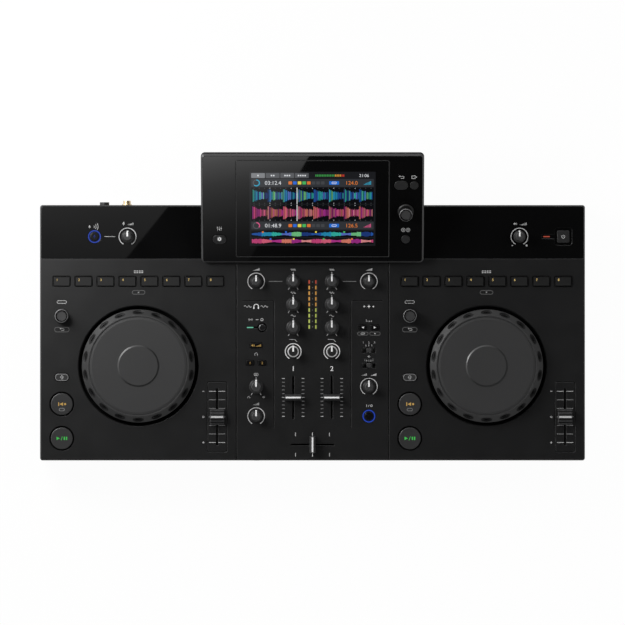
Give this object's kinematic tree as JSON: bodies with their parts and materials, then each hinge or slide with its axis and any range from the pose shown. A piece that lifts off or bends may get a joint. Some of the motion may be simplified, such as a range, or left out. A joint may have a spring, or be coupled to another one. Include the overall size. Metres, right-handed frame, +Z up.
{
  "type": "standalone dj player",
  "caption": "Flat standalone DJ player with a jog wheel deck on each side of a mixer, rows of pads, and a tilted touch screen that overhangs the rear.",
  "frame": {"origin": "on the floor under the middle of the whole object, screen and sockets included", "axes": "+X to the right of someone who plays it, +Y to the rear where the sockets are, +Z up"},
  "size_m": [0.638, 0.3604, 0.1135],
  "materials": {
    "case_black": "fine matte texture",
    "gloss_black": "polished",
    "shell_black": "fine matte texture",
    "screen_glass": "polished glass over a display",
    "board_green": "solder mask",
    "part_black": "moulded",
    "bush_metal": "turned",
    "light_clear": "clear, lit from below",
    "foot_rubber": "matte",
    "screw_steel": "blackened",
    "plate_grey": "fine spun satin",
    "rim_black": "satin",
    "pad_rubber": "matte",
    "knob_black": "satin",
    "cap_black": "satin",
    "key_black": "satin"
  },
  "bodies": {
    "case": {"top_case": "case_black", "bottom_case": "case_black", "gloss_strip": "gloss_black", "screen_rear_shell": "shell_black", "screen_bezel": "gloss_black", "touch_screen": "screen_glass", "circuit_boards": "board_green", "potentiometers": "part_black", "jog_bushes": "bush_metal", "light_pipes": "light_clear", "rubber_feet": "foot_rubber", "case_screws": "screw_steel", "sockets": "part_black"},
    "jog_left": {"jog_rim_left": "rim_black", "jog_plate_left": "plate_grey"},
    "loop_knob_left": {"loop_knob_left": "knob_black"},
    "shift_button_left": {"shift_button_left": "key_black"},
    "cue_button_left": {"cue_button_left": "key_black"},
    "play_button_left": {"play_button_left": "key_black"},
    "pads_left": {"pads_left": "pad_rubber"},
    "tempo_slider_left": {"tempo_slider_left": "cap_black"},
    "jog_right": {"jog_rim_right": "rim_black", "jog_plate_right": "plate_grey"},
    "loop_knob_right": {"loop_knob_right": "knob_black"},
    "shift_button_right": {"shift_button_right": "key_black"},
    "cue_button_right": {"cue_button_right": "key_black"},
    "play_button_right": {"play_button_right": "key_black"},
    "pads_right": {"pads_right": "pad_rubber"},
    "tempo_slider_right": {"tempo_slider_right": "cap_black"},
    "trim_knob_1": {"trim_knob_1": "knob_black"},
    "high_knob_1": {"high_knob_1": "knob_black"},
    "mid_knob_1": {"mid_knob_1": "knob_black"},
    "low_knob_1": {"low_knob_1": "knob_black"},
    "filter_knob_1": {"filter_knob_1": "knob_black"},
    "channel_fader_1": {"channel_fader_1": "cap_black"},
    "trim_knob_2": {"trim_knob_2": "knob_black"},
    "high_knob_2": {"high_knob_2": "knob_black"},
    "mid_knob_2": {"mid_knob_2": "knob_black"},
    "low_knob_2": {"low_knob_2": "knob_black"},
    "filter_knob_2": {"filter_knob_2": "knob_black"},
    "channel_fader_2": {"channel_fader_2": "cap_black"},
    "crossfader": {"crossfader": "cap_black"},
    "pairing_button": {"pairing_button": "key_black"},
    "phones_keys": {"phones_keys": "key_black"},
    "phones_mix_knob": {"phones_mix_knob": "knob_black"},
    "phones_level_knob": {"phones_level_knob": "knob_black"},
    "beat_keys": {"beat_keys": "key_black"},
    "effect_select_switch": {"effect_select_switch": "cap_black"},
    "effect_channel_switch": {"effect_channel_switch": "cap_black"},
    "effect_level_knob": {"effect_level_knob": "knob_black"},
    "effect_button": {"effect_button": "key_black"},
    "mic_button": {"mic_button": "key_black"},
    "mic_level_knob": {"mic_level_knob": "knob_black"},
    "master_level_knob": {"master_level_knob": "knob_black"},
    "power_button": {"power_button": "key_black"},
    "mixer_settings_button": {"mixer_settings_button": "key_black"},
    "back_button": {"back_button": "key_black"},
    "tag_button": {"tag_button": "key_black"},
    "deck_settings_button": {"deck_settings_button": "key_black"},
    "browse_knob": {"browse_knob": "knob_black"}
  },
  "joints": [
    {"name": "jog_left_turn", "type": "hinge", "parent": "case", "child": "jog_left", "pos_m": [-0.2037, -0.06884, 0.06], "axis": [0, 0, 1], "continuous": true},
    {"name": "loop_knob_left_turn", "type": "hinge", "parent": "case", "child": "loop_knob_left", "pos_m": [-0.2935, -0.01032, 0.06], "axis": [0, 0, 1], "continuous": true},
    {"name": "shift_button_left_press", "type": "slide", "parent": "case", "child": "shift_button_left", "axis": [0, 0, 1], "range_m": [-0.0008, 0], "stiffness_N_per_m": 150, "springref_m": 0.002},
    {"name": "cue_button_left_press", "type": "slide", "parent": "case", "child": "cue_button_left", "axis": [0, 0, 1], "range_m": [-0.0008, 0], "stiffness_N_per_m": 150, "springref_m": 0.002},
    {"name": "play_button_left_press", "type": "slide", "parent": "case", "child": "play_button_left", "axis": [0, 0, 1], "range_m": [-0.0008, 0], "stiffness_N_per_m": 150, "springref_m": 0.002},
    {"name": "pads_left_press", "type": "slide", "parent": "case", "child": "pads_left", "axis": [0, 0, 1], "range_m": [-0.0008, 0], "stiffness_N_per_m": 150, "springref_m": 0.002},
    {"name": "tempo_slider_left_slide", "type": "slide", "parent": "case", "child": "tempo_slider_left", "axis": [0, 1, 0], "range_m": [-0.03, 0.03]},
    {"name": "jog_right_turn", "type": "hinge", "parent": "case", "child": "jog_right", "pos_m": [0.2037, -0.06884, 0.06], "axis": [0, 0, 1], "continuous": true},
    {"name": "loop_knob_right_turn", "type": "hinge", "parent": "case", "child": "loop_knob_right", "pos_m": [0.1139, -0.01032, 0.06], "axis": [0, 0, 1], "continuous": true},
    {"name": "shift_button_right_press", "type": "slide", "parent": "case", "child": "shift_button_right", "axis": [0, 0, 1], "range_m": [-0.0008, 0], "stiffness_N_per_m": 150, "springref_m": 0.002},
    {"name": "cue_button_right_press", "type": "slide", "parent": "case", "child": "cue_button_right", "axis": [0, 0, 1], "range_m": [-0.0008, 0], "stiffness_N_per_m": 150, "springref_m": 0.002},
    {"name": "play_button_right_press", "type": "slide", "parent": "case", "child": "play_button_right", "axis": [0, 0, 1], "range_m": [-0.0008, 0], "stiffness_N_per_m": 150, "springref_m": 0.002},
    {"name": "pads_right_press", "type": "slide", "parent": "case", "child": "pads_right", "axis": [0, 0, 1], "range_m": [-0.0008, 0], "stiffness_N_per_m": 150, "springref_m": 0.002},
    {"name": "tempo_slider_right_slide", "type": "slide", "parent": "case", "child": "tempo_slider_right", "axis": [0, 1, 0], "range_m": [-0.03, 0.03]},
    {"name": "trim_knob_1_turn", "type": "hinge", "parent": "case", "child": "trim_knob_1", "pos_m": [-0.066, 0.03016, 0.06], "axis": [0, 0, 1], "range_deg": [-150, 150]},
    {"name": "high_knob_1_turn", "type": "hinge", "parent": "case", "child": "high_knob_1", "pos_m": [-0.0226, 0.03016, 0.06], "axis": [0, 0, 1], "range_deg": [-150, 150]},
    {"name": "mid_knob_1_turn", "type": "hinge", "parent": "case", "child": "mid_knob_1", "pos_m": [-0.0226, 0.00316, 0.06], "axis": [0, 0, 1], "range_deg": [-150, 150]},
    {"name": "low_knob_1_turn", "type": "hinge", "parent": "case", "child": "low_knob_1", "pos_m": [-0.0226, -0.02384, 0.06], "axis": [0, 0, 1], "range_deg": [-150, 150]},
    {"name": "filter_knob_1_turn", "type": "hinge", "parent": "case", "child": "filter_knob_1", "pos_m": [-0.0226, -0.05203, 0.06], "axis": [0, 0, 1], "range_deg": [-150, 150]},
    {"name": "channel_fader_1_slide", "type": "slide", "parent": "case", "child": "channel_fader_1", "axis": [0, 1, 0], "range_m": [-0.0225, 0.0225]},
    {"name": "trim_knob_2_turn", "type": "hinge", "parent": "case", "child": "trim_knob_2", "pos_m": [0.066, 0.03016, 0.06], "axis": [0, 0, 1], "range_deg": [-150, 150]},
    {"name": "high_knob_2_turn", "type": "hinge", "parent": "case", "child": "high_knob_2", "pos_m": [0.0226, 0.03016, 0.06], "axis": [0, 0, 1], "range_deg": [-150, 150]},
    {"name": "mid_knob_2_turn", "type": "hinge", "parent": "case", "child": "mid_knob_2", "pos_m": [0.0226, 0.00316, 0.06], "axis": [0, 0, 1], "range_deg": [-150, 150]},
    {"name": "low_knob_2_turn", "type": "hinge", "parent": "case", "child": "low_knob_2", "pos_m": [0.0226, -0.02384, 0.06], "axis": [0, 0, 1], "range_deg": [-150, 150]},
    {"name": "filter_knob_2_turn", "type": "hinge", "parent": "case", "child": "filter_knob_2", "pos_m": [0.0226, -0.05203, 0.06], "axis": [0, 0, 1], "range_deg": [-150, 150]},
    {"name": "channel_fader_2_slide", "type": "slide", "parent": "case", "child": "channel_fader_2", "axis": [0, 1, 0], "range_m": [-0.0225, 0.0225]},
    {"name": "crossfader_slide", "type": "slide", "parent": "case", "child": "crossfader", "axis": [1, 0, 0], "range_m": [-0.0225, 0.0225]},
    {"name": "pairing_button_press", "type": "slide", "parent": "case", "child": "pairing_button", "axis": [0, 0, 1], "range_m": [-0.0008, 0], "stiffness_N_per_m": 150, "springref_m": 0.002},
    {"name": "phones_keys_press", "type": "slide", "parent": "case", "child": "phones_keys", "axis": [0, 0, 1], "range_m": [-0.0008, 0], "stiffness_N_per_m": 150, "springref_m": 0.002},
    {"name": "phones_mix_knob_turn", "type": "hinge", "parent": "case", "child": "phones_mix_knob", "pos_m": [-0.066, -0.09312, 0.06], "axis": [0, 0, 1], "range_deg": [-150, 150]},
    {"name": "phones_level_knob_turn", "type": "hinge", "parent": "case", "child": "phones_level_knob", "pos_m": [-0.066, -0.12762, 0.06], "axis": [0, 0, 1], "range_deg": [-150, 150]},
    {"name": "beat_keys_press", "type": "slide", "parent": "case", "child": "beat_keys", "axis": [0, 0, 1], "range_m": [-0.0008, 0], "stiffness_N_per_m": 150, "springref_m": 0.002},
    {"name": "effect_select_switch_slide", "type": "slide", "parent": "case", "child": "effect_select_switch", "axis": [1, 0, 0], "range_m": [-0.004, 0.004]},
    {"name": "effect_channel_switch_slide", "type": "slide", "parent": "case", "child": "effect_channel_switch", "axis": [1, 0, 0], "range_m": [-0.004, 0.004]},
    {"name": "effect_level_knob_turn", "type": "hinge", "parent": "case", "child": "effect_level_knob", "pos_m": [0.066, -0.09312, 0.06], "axis": [0, 0, 1], "range_deg": [-150, 150]},
    {"name": "effect_button_press", "type": "slide", "parent": "case", "child": "effect_button", "axis": [0, 0, 1], "range_m": [-0.0008, 0], "stiffness_N_per_m": 150, "springref_m": 0.002},
    {"name": "mic_button_press", "type": "slide", "parent": "case", "child": "mic_button", "axis": [0, 0, 1], "range_m": [-0.0008, 0], "stiffness_N_per_m": 150, "springref_m": 0.002},
    {"name": "mic_level_knob_turn", "type": "hinge", "parent": "case", "child": "mic_level_knob", "pos_m": [-0.2166, 0.08258, 0.06], "axis": [0, 0, 1], "range_deg": [-150, 150]},
    {"name": "master_level_knob_turn", "type": "hinge", "parent": "case", "child": "master_level_knob", "pos_m": [0.2423, 0.08258, 0.06], "axis": [0, 0, 1], "range_deg": [-150, 150]},
    {"name": "power_button_press", "type": "slide", "parent": "case", "child": "power_button", "axis": [0, 0, 1], "range_m": [-0.0008, 0], "stiffness_N_per_m": 150, "springref_m": 0.002},
    {"name": "mixer_settings_button_press", "type": "slide", "parent": "case", "child": "mixer_settings_button", "axis": [0, -0.342, 0.9397], "range_m": [-0.0008, 0], "stiffness_N_per_m": 150, "springref_m": 0.002},
    {"name": "back_button_press", "type": "slide", "parent": "case", "child": "back_button", "axis": [0, -0.342, 0.9397], "range_m": [-0.0008, 0], "stiffness_N_per_m": 150, "springref_m": 0.002},
    {"name": "tag_button_press", "type": "slide", "parent": "case", "child": "tag_button", "axis": [0, -0.342, 0.9397], "range_m": [-0.0008, 0], "stiffness_N_per_m": 150, "springref_m": 0.002},
    {"name": "deck_settings_button_press", "type": "slide", "parent": "case", "child": "deck_settings_button", "axis": [0, -0.342, 0.9397], "range_m": [-0.0008, 0], "stiffness_N_per_m": 150, "springref_m": 0.002},
    {"name": "browse_knob_turn", "type": "hinge", "parent": "case", "child": "browse_knob", "pos_m": [0.1087, 0.11171, 0.09021], "axis": [0, -0.342, 0.9397], "continuous": true}
  ]
}
